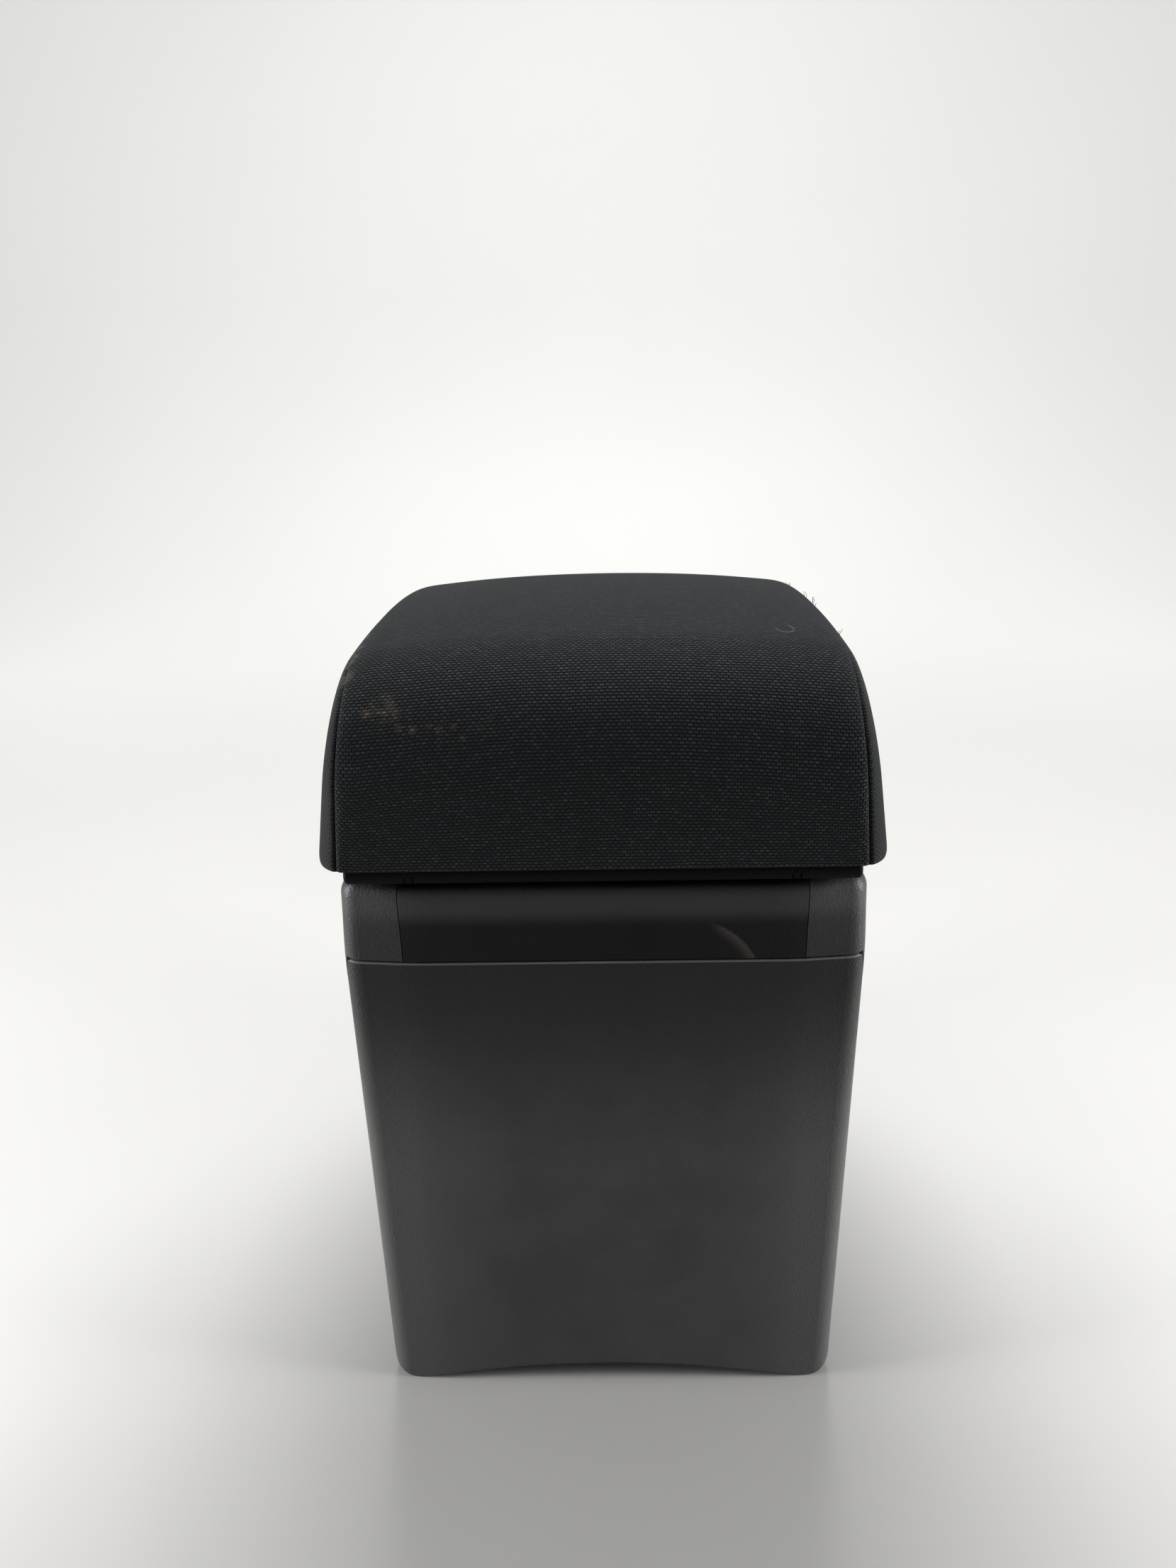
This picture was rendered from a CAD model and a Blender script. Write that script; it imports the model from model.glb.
"""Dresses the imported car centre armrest: padded cloth lid, grained plastic box, steel and rubber pieces."""

import logging
import math
import random
from dataclasses import dataclass, field
from enum import Enum

import bmesh
import bpy
from mathutils import Matrix, Vector


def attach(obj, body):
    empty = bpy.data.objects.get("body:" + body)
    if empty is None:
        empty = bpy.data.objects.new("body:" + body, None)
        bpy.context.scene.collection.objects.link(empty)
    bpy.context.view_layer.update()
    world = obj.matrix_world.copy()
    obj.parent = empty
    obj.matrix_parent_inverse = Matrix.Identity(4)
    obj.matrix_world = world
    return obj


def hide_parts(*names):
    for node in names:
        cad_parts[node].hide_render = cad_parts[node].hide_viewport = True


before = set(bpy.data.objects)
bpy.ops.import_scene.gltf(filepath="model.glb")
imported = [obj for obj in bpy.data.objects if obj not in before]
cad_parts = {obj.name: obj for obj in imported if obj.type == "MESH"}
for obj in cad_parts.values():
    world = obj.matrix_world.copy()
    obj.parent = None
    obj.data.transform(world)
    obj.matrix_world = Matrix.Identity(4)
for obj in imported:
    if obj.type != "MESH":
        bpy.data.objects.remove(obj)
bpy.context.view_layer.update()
LOG = logging.getLogger("armrest")
MM = 0.001
BISECTIONS = 40
LID_BODY = "lid"
Color = tuple[float, float, float]
Rgba = tuple[float, float, float, float]
Point = tuple[float, float, float]
Span = tuple[float, float]
Places = tuple[tuple[Point, float], ...]
Socket = bpy.types.NodeSocket


class Side(Enum):
    """Side of the lid, seen from the rear, with its sign across."""

    LEFT = -1
    RIGHT = 1


class NodeBench:
    """Adds and joins the nodes of one node tree.

    Attributes:
        MIX_INPUTS: Numbers of a Mix node's factor and its two colours.
        MIX_OUTPUT: Number of its mixed colour.
    """

    MIX_INPUTS = (0, 6, 7)
    MIX_OUTPUT = 2

    def __init__(self, tree: bpy.types.NodeTree) -> None:
        """Keeps the tree.

        Args:
            tree: Node tree to work in.
        """
        self.tree = tree

    def add(self, kind: str, inputs: dict | None = None, **settings: object) -> bpy.types.Node:
        """Adds one node.

        Args:
            kind: Node type's identifier.
            inputs: Values or sockets by input name or index.
            settings: Attributes of the node.

        Returns:
            The new node.
        """
        node = self.tree.nodes.new(kind)
        for name, value in settings.items():
            setattr(node, name, value)
        for name, value in (inputs or {}).items():
            self.feed(node.inputs[name], value)
        return node

    def feed(self, socket: Socket, value: object) -> None:
        """Links a socket to another, or sets its value.

        Args:
            socket: Input to feed.
            value: Output socket or plain value.
        """
        if isinstance(value, Socket):
            self.tree.links.new(value, socket)
        else:
            socket.default_value = value

    def math(self, operation: str, *values: object, clamp: bool = False) -> Socket:
        """Adds a Math node.

        Args:
            operation: Name of the operation.
            values: Sockets or numbers, in order.
            clamp: Whether the result is kept from 0 to 1.

        Returns:
            The result's socket.
        """
        inputs = dict(enumerate(values))
        return self.add("ShaderNodeMath", inputs, operation=operation, use_clamp=clamp).outputs[0]

    def blend(self, factor: object, first: object, second: object) -> Socket:
        """Mixes two colours.

        Args:
            factor: Share of the second colour.
            first: Colour at 0.
            second: Colour at 1.

        Returns:
            The mixed colour's socket.
        """
        inputs = dict(zip(self.MIX_INPUTS, (factor, first, second)))
        node = self.add("ShaderNodeMix", inputs, data_type="RGBA", clamp_factor=True)
        return node.outputs[self.MIX_OUTPUT]

    def ramp(self, value: object, low: object, high: object, start: float = 0.0, end: float = 1.0) -> Socket:
        """Maps a range smoothly to another.

        Args:
            value: Socket to map.
            low: Socket or number that gives start.
            high: Socket or number that gives end.
            start: Result at low.
            end: Result at high.

        Returns:
            The mapped socket.
        """
        inputs = {0: value, 1: low, 2: high, 3: start, 4: end}
        return self.add("ShaderNodeMapRange", inputs, interpolation_type="SMOOTHSTEP").outputs[0]

    def noise(self, vector: object, scale: object, detail: float = 2.0) -> Socket:
        """Adds a Noise texture.

        Args:
            vector: Coordinates.
            scale: Socket or number of cycles per metre.
            detail: Octaves.

        Returns:
            The noise value's socket.
        """
        inputs = {"Vector": vector, "Scale": scale, "Detail": detail}
        return self.add("ShaderNodeTexNoise", inputs).outputs[0]

    def axes(self, vector: Socket) -> bpy.types.bpy_prop_collection:
        """Parts of a vector, across, along and up."""
        return self.add("ShaderNodeSeparateXYZ", {0: vector}).outputs

    def distance(self, first: object, second: object) -> Socket:
        """Distance between two points."""
        return self.add("ShaderNodeVectorMath", {0: first, 1: second}, operation="DISTANCE").outputs["Value"]

    def product(self, first: object, *others: object) -> Socket:
        """Multiplies sockets or numbers.

        Args:
            first: First of them.
            others: The rest.

        Returns:
            The product's socket.
        """
        for other in others:
            first = self.math("MULTIPLY", first, other)
        return first

    def seen(self) -> Socket:
        """Mask of the rays that reach the camera: straight, mirrored or through a clear piece.

        Returns:
            The mask's socket.
        """
        rays = self.add("ShaderNodeLightPath").outputs
        straight = self.math("MAXIMUM", rays["Is Camera Ray"], rays["Is Glossy Ray"])
        return self.math("MAXIMUM", straight, rays["Is Transmission Ray"])


def opaque(color: Color, strength: float = 1.0) -> Rgba:
    """Colour at a strength, with full alpha."""
    return (*(strength * part for part in color), 1.0)


class Effects:
    """Node groups that several finishes share, each built once. Patterns are counted per metre.

    Attributes:
        FINE: Fine noise over the grain's cells.
        FINE_SHARE: Its share of the grain's height.
        PATCHES: Patches of the grain's tone.
        SPECKS: Specks of dust.
        SPECK_PATCHES: Patches in which the specks show.
        FILMS: Patches of the dust's film.
        FILM_SHARE: Strength of that film beside the specks.
        CORE: Share of a spot's radius within which it is full.
    """

    FINE = 900.0
    FINE_SHARE = 0.5
    PATCHES = 45.0
    SPECKS = 210.0
    SPECK_PATCHES = 70.0
    FILMS = 14.0
    FILM_SHARE = 0.22
    CORE = 0.25

    @staticmethod
    def group(name: str, inputs: tuple[str, ...],
              outputs: tuple[str, ...]) -> tuple[NodeBench, dict[str, Socket], bpy.types.Node]:
        """Starts an empty node group.

        Args:
            name: Group's name.
            inputs: Names of the inputs; Vector and Centre are vectors and the others numbers.
            outputs: Names of the outputs, which are numbers.

        Returns:
            The bench, the group's input sockets by name, and its output node.
        """
        tree = bpy.data.node_groups.new(name, "ShaderNodeTree")
        for socket in inputs:
            kind = "NodeSocketVector" if socket in ("Vector", "Centre") else "NodeSocketFloat"
            tree.interface.new_socket(socket, in_out="INPUT", socket_type=kind)
        for socket in outputs:
            tree.interface.new_socket(socket, in_out="OUTPUT", socket_type="NodeSocketFloat")
        bench = NodeBench(tree)
        source = bench.add("NodeGroupInput")
        target = bench.add("NodeGroupOutput")
        return bench, {socket.name: socket for socket in source.outputs}, target

    @classmethod
    def find(cls, name: str) -> bpy.types.NodeTree:
        """Gives a group by name, building it on first use.

        Args:
            name: Name of one of the methods below.

        Returns:
            The node group.
        """
        if name not in bpy.data.node_groups:
            getattr(cls, name)()
        return bpy.data.node_groups[name]

    @classmethod
    def place(cls, bench: NodeBench, name: str, inputs: dict) -> bpy.types.Node:
        """Places a group in a material.

        Args:
            bench: Material's bench.
            name: Group's name.
            inputs: Values or sockets by input name.

        Returns:
            The group node.
        """
        node = bench.add("ShaderNodeGroup", node_tree=cls.find(name))
        for socket, value in inputs.items():
            bench.feed(node.inputs[socket], value)
        return node

    @classmethod
    def grain(cls) -> None:
        """Moulded leather-like grain: small rounded cells with uneven height."""
        bench, given, target = cls.group("grain", ("Vector", "Cells"), ("Height", "Tone"))
        place = given["Vector"]
        cells = bench.add("ShaderNodeTexVoronoi", {"Vector": place, "Scale": given["Cells"]},
                          feature="SMOOTH_F1")
        fine = bench.noise(place, cls.FINE, 3.0)
        broad = bench.noise(place, cls.PATCHES, 4.0)
        height = bench.math("SUBTRACT", bench.product(fine, cls.FINE_SHARE), cells.outputs[0])
        bench.feed(target.inputs["Height"], height)
        bench.feed(target.inputs["Tone"], bench.ramp(broad, 0.3, 0.7))

    @classmethod
    def weave(cls) -> None:
        """Rows of short raised dashes, each row stepped on from the last."""
        wanted = ("Across", "Along", "Row", "Dash", "Step")
        bench, given, target = cls.group("weave", wanted, ("Height", "Tone"))
        rows = bench.math("DIVIDE", given["Along"], given["Row"])
        row = bench.math("FLOOR", rows)
        dashes = bench.math("ADD", bench.math("DIVIDE", given["Across"], given["Dash"]),
                            bench.product(row, given["Step"]))
        crown = bench.ramp(bench.math("PINGPONG", rows, 0.5), 0.05, 0.42)
        ends = bench.ramp(bench.math("PINGPONG", dashes, 0.5), 0.06, 0.26)
        number = bench.add("ShaderNodeCombineXYZ", {0: bench.math("FLOOR", dashes), 1: row}).outputs[0]
        tone = bench.add("ShaderNodeTexWhiteNoise", {"Vector": number}, noise_dimensions="2D").outputs[0]
        bench.feed(target.inputs["Height"], bench.product(crown, ends))
        bench.feed(target.inputs["Tone"], tone)

    @classmethod
    def dust(cls) -> None:
        """Scattered lint and dust: a few bright specks over a faint broken film."""
        bench, given, target = cls.group("dust", ("Vector", "Amount"), ("Mask",))
        place = given["Vector"]
        specks = bench.add("ShaderNodeTexVoronoi", {"Vector": place, "Scale": cls.SPECKS}).outputs[0]
        near = bench.ramp(specks, 0.1, 0.045)
        sparse = bench.ramp(bench.noise(place, cls.SPECK_PATCHES, 3.0), 0.5, 0.68)
        haze = bench.ramp(bench.noise(place, cls.FILMS, 6.0), 0.42, 0.8, 0.0, cls.FILM_SHARE)
        both = bench.math("ADD", bench.product(near, sparse), haze)
        bench.feed(target.inputs["Mask"], bench.math("MULTIPLY", both, given["Amount"], clamp=True))

    @classmethod
    def band(cls) -> None:
        """Level band that fades in and out by its height: a worn rim or edge."""
        bench, given, target = cls.group("band", ("Vector", "Start", "Full", "Still", "End"), ("Mask",))
        height = bench.axes(given["Vector"])[2]
        rise = bench.ramp(height, given["Start"], given["Full"])
        fall = bench.ramp(height, given["End"], given["Still"])
        bench.feed(target.inputs["Mask"], bench.product(rise, fall))

    @classmethod
    def spot(cls) -> None:
        """Round place that is full in its core and fades out to its radius."""
        bench, given, target = cls.group("spot", ("Vector", "Centre", "Radius"), ("Mask",))
        away = bench.distance(given["Vector"], given["Centre"])
        core = bench.product(given["Radius"], cls.CORE)
        bench.feed(target.inputs["Mask"], bench.ramp(away, given["Radius"], core))

    @classmethod
    def flecks(cls) -> None:
        """Flecks that break up a worn or dusty place."""
        bench, given, target = cls.group("flecks", ("Vector", "Scale"), ("Mask",))
        broken = bench.ramp(bench.noise(given["Vector"], given["Scale"], 3.0), 0.36, 0.6)
        bench.feed(target.inputs["Mask"], broken)


@dataclass(frozen=True)
class Finish:
    """Base of every finish: a procedural material on a Principled shader.

    Attributes:
        name: Material's name.
        color: Main colour, linear.
        roughness: Mean roughness.
    """

    name: str
    color: Color
    roughness: float = 0.5

    def start(self) -> tuple[NodeBench, bpy.types.Node, Socket]:
        """Makes the empty material.

        Returns:
            The bench, the Principled shader and the Object coordinates.
        """
        material = bpy.data.materials.new(self.name)
        material.use_nodes = True
        material.node_tree.nodes.clear()
        bench = NodeBench(material.node_tree)
        shader = bench.add("ShaderNodeBsdfPrincipled")
        bench.add("ShaderNodeOutputMaterial", {"Surface": shader.outputs[0]})
        place = bench.add("ShaderNodeTexCoord").outputs["Object"]
        return bench, shader, place

    @staticmethod
    def bump(bench: NodeBench, shader: bpy.types.Node, height: object, depth: float) -> None:
        """Feeds a height to the shader's normal.

        Args:
            bench: Material's bench.
            shader: Principled shader.
            height: Height's socket, from 0 to 1.
            depth: Depth of the relief in metres.
        """
        node = bench.add("ShaderNodeBump", {"Height": height, "Distance": depth, "Strength": 1.0})
        bench.feed(shader.inputs["Normal"], node.outputs[0])

    def make(self) -> bpy.types.Material:
        """Builds the material on first use.

        Returns:
            The material.
        """
        if self.name not in bpy.data.materials:
            self.compose()
        return bpy.data.materials[self.name]

    def compose(self) -> None:
        """Builds the nodes; each finish has its own."""
        raise NotImplementedError


@dataclass(frozen=True)
class Scuff:
    """Arc-shaped rubbed mark, sharp outside, fading inwards and broken by fine scratches.

    Attributes:
        centre: Centre of the arc, in metres, as all its distances are.
        radius: Radius of the sharp outer edge.
        edge: Distances inside that edge between which the mark sets in.
        width: Distance over which it fades inwards.
        right: Distances to the right of the centre between which it sets in.
        ahead: Distances ahead of the centre between which it sets in.
        scratches: Scratches per metre.
        color: Colour of the mark, linear.
        share: Share of that colour where the mark is full.
        dull: Roughness added where it is full.
    """

    centre: Point
    radius: float = 0.031
    edge: Span = (-0.0003, 0.0009)
    width: float = 0.0052
    right: Span = (0.0095, 0.019)
    ahead: Span = (0.012, 0.004)
    scratches: float = 2600.0
    color: Color = (0.12, 0.104, 0.098)
    share: float = 0.5
    dull: float = 0.2

    def mask(self, bench: NodeBench, place: Socket) -> Socket:
        """Strength of the mark over the surface.

        Args:
            bench: Material's bench.
            place: Object coordinates.

        Returns:
            The mask's socket.
        """
        offset = bench.add("ShaderNodeVectorMath", {0: place, 1: self.centre}, operation="SUBTRACT")
        across, along, up = bench.axes(offset.outputs[0])
        squares = bench.math("ADD", bench.math("POWER", across, 2.0), bench.math("POWER", up, 2.0))
        inside = bench.math("SUBTRACT", self.radius, bench.math("SQRT", squares))
        arc = bench.product(bench.ramp(inside, *self.edge), bench.ramp(inside, self.width, 0.0))
        reach = bench.product(bench.ramp(across, *self.right), bench.ramp(along, *self.ahead))
        fine = bench.ramp(bench.noise(place, self.scratches), 0.3, 0.65, 0.45, 1.0)
        return bench.product(arc, reach, fine)


@dataclass(frozen=True)
class GrainedPlastic(Finish):
    """Moulded plastic with a fine grain and dust, and with wear where it is given.

    Attributes:
        cells: Grain cells per metre.
        relief: Depth of the grain in metres.
        paler: Strength of the colour in the grain's pale patches.
        pale_share: Share of the paler colour there.
        spread: Roughness added from the dark patches to the pale ones.
        dust: Amount of dust.
        dust_color: Colour of the dust, linear.
        dust_share: Share of that colour where the dust is thickest.
        gloss: Specular level.
        sides: Distances in metres from the middle between which it pales to its handled sides, or None.
        handled: Strength of the colour at the handled sides.
        handled_share: Share of that stronger colour there.
        clean: Heights in metres between which the plastic darkens to its unworn tone, or None.
        unworn: Strength of the colour in the unworn tone.
        rim: Heights in metres at which a worn band round the rim starts, is full, is still full and ends,
            or None.
        rim_color: Colour of the worn band, linear.
        scuff: A scuff on it, or None.
    """

    cells: float = 1300.0
    relief: float = 0.00012
    paler: float = 1.45
    pale_share: float = 0.4
    spread: Span = (-0.05, 0.06)
    dust: float = 0.35
    dust_color: Color = (0.2, 0.19, 0.175)
    dust_share: float = 0.5
    gloss: float = 0.2
    sides: Span | None = None
    handled: float = 1.6
    handled_share: float = 0.8
    clean: Span | None = None
    unworn: float = 0.25
    rim: tuple[float, float, float, float] | None = None
    rim_color: Color = (0.036, 0.036, 0.0362)
    scuff: Scuff | None = None

    def compose(self) -> None:
        """Builds the plastic's nodes."""
        bench, shader, place = self.start()
        grain = Effects.place(bench, "grain", {"Vector": place, "Cells": self.cells}).outputs
        dust = Effects.place(bench, "dust", {"Vector": place, "Amount": self.dust}).outputs["Mask"]
        patches = bench.product(grain["Tone"], self.pale_share)
        base = bench.blend(patches, opaque(self.color), opaque(self.color, self.paler))
        base = bench.blend(bench.product(dust, self.dust_share), base, opaque(self.dust_color))
        base = self.wear(bench, place, base)
        low, high = self.spread
        rough = bench.ramp(grain["Tone"], 0.0, 1.0, self.roughness + low, self.roughness + high)
        if self.scuff:
            mark = self.scuff.mask(bench, place)
            base = bench.blend(bench.product(mark, self.scuff.share), base, opaque(self.scuff.color))
            rough = bench.math("ADD", rough, bench.product(mark, self.scuff.dull))
        bench.feed(shader.inputs["Base Color"], base)
        bench.feed(shader.inputs["Roughness"], rough)
        shader.inputs["Specular IOR Level"].default_value = self.gloss
        self.bump(bench, shader, grain["Height"], self.relief)

    def wear(self, bench: NodeBench, place: Socket, base: Socket) -> Socket:
        """Pales the handled sides and the rim, and darkens what is clean.

        Args:
            bench: Material's bench.
            place: Object coordinates.
            base: Colour before the wear.

        Returns:
            The worn colour's socket.
        """
        across, _, height = bench.axes(place)
        if self.sides:
            pale = bench.ramp(bench.math("ABSOLUTE", across), *self.sides, 0.0, self.handled_share)
            base = bench.blend(pale, base, opaque(self.color, self.handled))
        if self.clean:
            base = bench.blend(bench.ramp(height, *self.clean), base, opaque(self.color, self.unworn))
        if self.rim:
            heights = dict(zip(("Start", "Full", "Still", "End"), self.rim))
            band = Effects.place(bench, "band", {"Vector": place, **heights}).outputs["Mask"]
            base = bench.blend(band, base, opaque(self.rim_color))
        return base


@dataclass(frozen=True)
class Cloth(Finish):
    """Base of the cloths: threads with dark gaps between them, dusty all over and more so in places.

    Attributes:
        step: Share of a dash by which each row is set on from the last.
        relief: Depth of the weave in metres.
        gaps: Strength of the colour in the gaps between threads.
        gap_roughness: Roughness in the gaps.
        gloss: Specular level.
        sheen: Weight of the sheen.
        sheen_roughness: Roughness of the sheen.
        dust: Amount of dust all over.
        dust_color: Colour of that dust, linear.
        dust_share: Share of that colour where the dust is thickest.
        dusty: Centres and radii of the places where more dust sits, in metres.
        powder_color: Colour of the dust in those places, linear.
        powder_share: Share of that colour there.
        powder_flecks: Flecks per metre that break it.
    """

    step: float = 0.5
    relief: float = 0.00035
    gaps: float = 0.35
    gap_roughness: float = 0.95
    gloss: float = 0.06
    sheen: float = 0.03
    sheen_roughness: float = 0.5
    dust: float = 0.35
    dust_color: Color = (0.17, 0.18, 0.18)
    dust_share: float = 0.5
    dusty: Places = ()
    powder_color: Color = (0.14, 0.12, 0.1)
    powder_share: float = 0.5
    powder_flecks: float = 700.0

    @staticmethod
    def spots(bench: NodeBench, place: Socket, places: Places, flecks: float) -> Socket:
        """Soft-edged places, broken by flecks.

        Args:
            bench: Material's bench.
            place: Object coordinates.
            places: Centres and radii, in metres.
            flecks: Flecks per metre.

        Returns:
            The mask's socket.
        """
        total = 0.0
        for centre, radius in places:
            spot = Effects.place(bench, "spot", {"Vector": place, "Centre": centre, "Radius": radius})
            total = bench.math("ADD", total, spot.outputs["Mask"], clamp=True)
        broken = Effects.place(bench, "flecks", {"Vector": place, "Scale": flecks}).outputs["Mask"]
        return bench.product(total, broken)

    def powder(self, bench: NodeBench, place: Socket, base: Socket) -> Socket:
        """Lays dust over a colour at the dusty places.

        Args:
            bench: Material's bench.
            place: Object coordinates.
            base: Colour below.

        Returns:
            The dusty colour's socket.
        """
        mask = self.spots(bench, place, self.dusty, self.powder_flecks)
        return bench.blend(bench.product(mask, self.powder_share), base, opaque(self.powder_color))

    def settle(self, bench: NodeBench, shader: bpy.types.Node, base: Socket, height: Socket) -> None:
        """Feeds the shader with the cloth's colour, roughness and relief.

        Args:
            bench: Material's bench.
            shader: Principled shader.
            base: Colour's socket.
            height: Height of the weave, from 0 to 1.
        """
        bench.feed(shader.inputs["Base Color"], base)
        rough = bench.ramp(height, 0.0, 1.0, self.gap_roughness, self.roughness)
        bench.feed(shader.inputs["Roughness"], rough)
        shader.inputs["Specular IOR Level"].default_value = self.gloss
        shader.inputs["Sheen Weight"].default_value = self.sheen
        shader.inputs["Sheen Roughness"].default_value = self.sheen_roughness
        self.bump(bench, shader, height, self.relief)


@dataclass(frozen=True)
class WovenCloth(Cloth):
    """Coarse woven cloth with a few pale threads, read from the panel's own UV map.

    Attributes:
        row: Distance between rows of dashes, in metres.
        dash: Length of one dash with its gap, in metres.
        wander: Cycles per metre and depth in metres by which the rows wander.
        paler: Strength of the colour in the palest threads.
        rarity: How rare the pale threads are.
        rubbed: Centres and radii of the rubbed places, in metres.
        rubbed_flecks: Flecks per metre that break them.
        film_color: Colour of the film on a rubbed place, linear.
        film_share: Share of that colour there.
        picked_color: Colour of the threads that are rubbed pale, linear.
    """

    row: float = 0.0012
    dash: float = 0.00195
    wander: Span = (60.0, 0.001)
    paler: float = 2.1
    rarity: float = 3.0
    rubbed: Places = ()
    rubbed_flecks: float = 260.0
    film_color: Color = (0.09, 0.068, 0.056)
    film_share: float = 0.4
    picked_color: Color = (0.135, 0.117, 0.11)

    def compose(self) -> None:
        """Builds the cloth's nodes."""
        bench, shader, place = self.start()
        across, along, _ = bench.axes(bench.add("ShaderNodeUVMap", uv_map="cloth").outputs[0])
        cycles, depth = self.wander
        along = bench.math("ADD", along, bench.product(bench.noise(place, cycles), depth))
        size = {"Row": self.row, "Dash": self.dash, "Step": self.step}
        weave = Effects.place(bench, "weave", {"Across": across, "Along": along, **size}).outputs
        height, tone = weave["Height"], weave["Tone"]
        rare = bench.math("POWER", tone, self.rarity)
        thread = bench.blend(rare, opaque(self.color), opaque(self.color, self.paler))
        base = bench.blend(height, opaque(self.color, self.gaps), thread)
        dust = Effects.place(bench, "dust", {"Vector": place, "Amount": self.dust}).outputs["Mask"]
        lint = bench.product(dust, bench.ramp(height, 0.2, 0.8, 0.25, 0.8), self.dust_share)
        base = bench.blend(lint, base, opaque(self.dust_color))
        base = self.powder(bench, place, base)
        mark = self.spots(bench, place, self.rubbed, self.rubbed_flecks)
        base = bench.blend(bench.product(mark, self.film_share), base, opaque(self.film_color))
        picked = bench.product(mark, bench.ramp(tone, 0.45, 0.8), bench.ramp(height, 0.3, 0.8))
        base = bench.blend(picked, base, opaque(self.picked_color))
        self.settle(bench, shader, base, height)


@dataclass(frozen=True)
class KnitCloth(Cloth):
    """Fine smooth knit of the side strips.

    Attributes:
        rib: Distance between knit ribs, in metres.
        stitch: Length of one stitch, in ribs.
    """

    rib: float = 0.0009
    stitch: float = 1.6
    relief: float = 0.00012
    gaps: float = 0.5
    gloss: float = 0.1
    sheen: float = 0.04
    dust: float = 0.7
    dust_color: Color = (0.13, 0.12, 0.1)
    dust_share: float = 0.55

    def compose(self) -> None:
        """Builds the knit's nodes."""
        bench, shader, place = self.start()
        _, along, up = bench.axes(place)
        size = {"Row": self.rib, "Dash": self.stitch * self.rib, "Step": self.step}
        weave = Effects.place(bench, "weave", {"Across": along, "Along": up, **size}).outputs
        height = weave["Height"]
        base = bench.blend(height, opaque(self.color, self.gaps), opaque(self.color))
        dust = Effects.place(bench, "dust", {"Vector": place, "Amount": self.dust}).outputs["Mask"]
        base = bench.blend(bench.product(dust, self.dust_share), base, opaque(self.dust_color))
        base = self.powder(bench, place, base)
        self.settle(bench, shader, base, height)


@dataclass(frozen=True)
class Steel(Finish):
    """Rolled or drawn steel with fine draw lines and a mottled plating.

    Attributes:
        lines: Draw lines per metre, along each axis.
        mottles: Mottles per metre.
        dull: Strength of the colour in the dull mottles.
        spread: Roughness added from the smooth lines to the rough ones.
        relief: Depth of the lines in metres.
    """

    lines: Point = (60.0, 60.0, 2600.0)
    mottles: float = 120.0
    dull: float = 0.6
    spread: Span = (-0.08, 0.12)
    relief: float = 0.00002

    def compose(self) -> None:
        """Builds the steel's nodes."""
        bench, shader, place = self.start()
        stretched = bench.add("ShaderNodeMapping", {"Vector": place, "Scale": self.lines}).outputs[0]
        streak = bench.noise(stretched, 1.0, 3.0)
        mottle = bench.ramp(bench.noise(place, self.mottles, 4.0), 0.35, 0.65)
        base = bench.blend(mottle, opaque(self.color), opaque(self.color, self.dull))
        bench.feed(shader.inputs["Base Color"], base)
        shader.inputs["Metallic"].default_value = 1.0
        low, high = self.spread
        rough = bench.ramp(streak, 0.3, 0.7, self.roughness + low, self.roughness + high)
        bench.feed(shader.inputs["Roughness"], rough)
        self.bump(bench, shader, streak, self.relief)


@dataclass(frozen=True)
class Rubber(Finish):
    """Matt rubber with a faint bloom.

    Attributes:
        blooms: Patches of bloom per metre.
        paler: Strength of the colour where the bloom is thick.
        smoother: Roughness added where there is no bloom.
        pores: Pores per metre.
        relief: Depth of the pores in metres.
    """

    blooms: float = 35.0
    paler: float = 1.8
    smoother: float = -0.08
    pores: float = 1500.0
    relief: float = 0.00006

    def compose(self) -> None:
        """Builds the rubber's nodes."""
        bench, shader, place = self.start()
        bloom = bench.noise(place, self.blooms, 5.0)
        base = bench.blend(bench.ramp(bloom, 0.4, 0.7), opaque(self.color), opaque(self.color, self.paler))
        bench.feed(shader.inputs["Base Color"], base)
        rough = bench.ramp(bloom, 0.3, 0.7, self.roughness + self.smoother, self.roughness)
        bench.feed(shader.inputs["Roughness"], rough)
        self.bump(bench, shader, bench.noise(place, self.pores), self.relief)


@dataclass(frozen=True)
class Foam(Finish):
    """Moulded foam with fine open cells, browned with age in patches.

    Attributes:
        cells: Cells per metre.
        patches: Aged patches per metre.
        aged: Strength of the colour in those patches.
        relief: Depth of the cells in metres.
    """

    cells: float = 1400.0
    patches: float = 25.0
    aged: float = 0.6
    relief: float = 0.0003

    def compose(self) -> None:
        """Builds the foam's nodes."""
        bench, shader, place = self.start()
        cells = bench.add("ShaderNodeTexVoronoi", {"Vector": place, "Scale": self.cells}).outputs[0]
        age = bench.ramp(bench.noise(place, self.patches, 4.0), 0.4, 0.65)
        base = bench.blend(age, opaque(self.color), opaque(self.color, self.aged))
        bench.feed(shader.inputs["Base Color"], base)
        bench.feed(shader.inputs["Roughness"], bench.ramp(cells, 0.0, 0.6, 0.85, 1.0))
        self.bump(bench, shader, cells, self.relief)


@dataclass(frozen=True)
class Thread(Finish):
    """Loose thread or lint, uneven in colour along its length.

    Attributes:
        fuzz: Uneven places per metre.
        darker: Strength of the colour in the darkest of them.
    """

    fuzz: float = 1200.0
    darker: float = 0.55

    def compose(self) -> None:
        """Builds the thread's nodes."""
        bench, shader, place = self.start()
        fuzz = bench.noise(place, self.fuzz)
        base = bench.blend(fuzz, opaque(self.color, self.darker), opaque(self.color))
        bench.feed(shader.inputs["Base Color"], base)
        bench.feed(shader.inputs["Roughness"], bench.ramp(fuzz, 0.3, 0.7, 0.8, 1.0))


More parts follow.
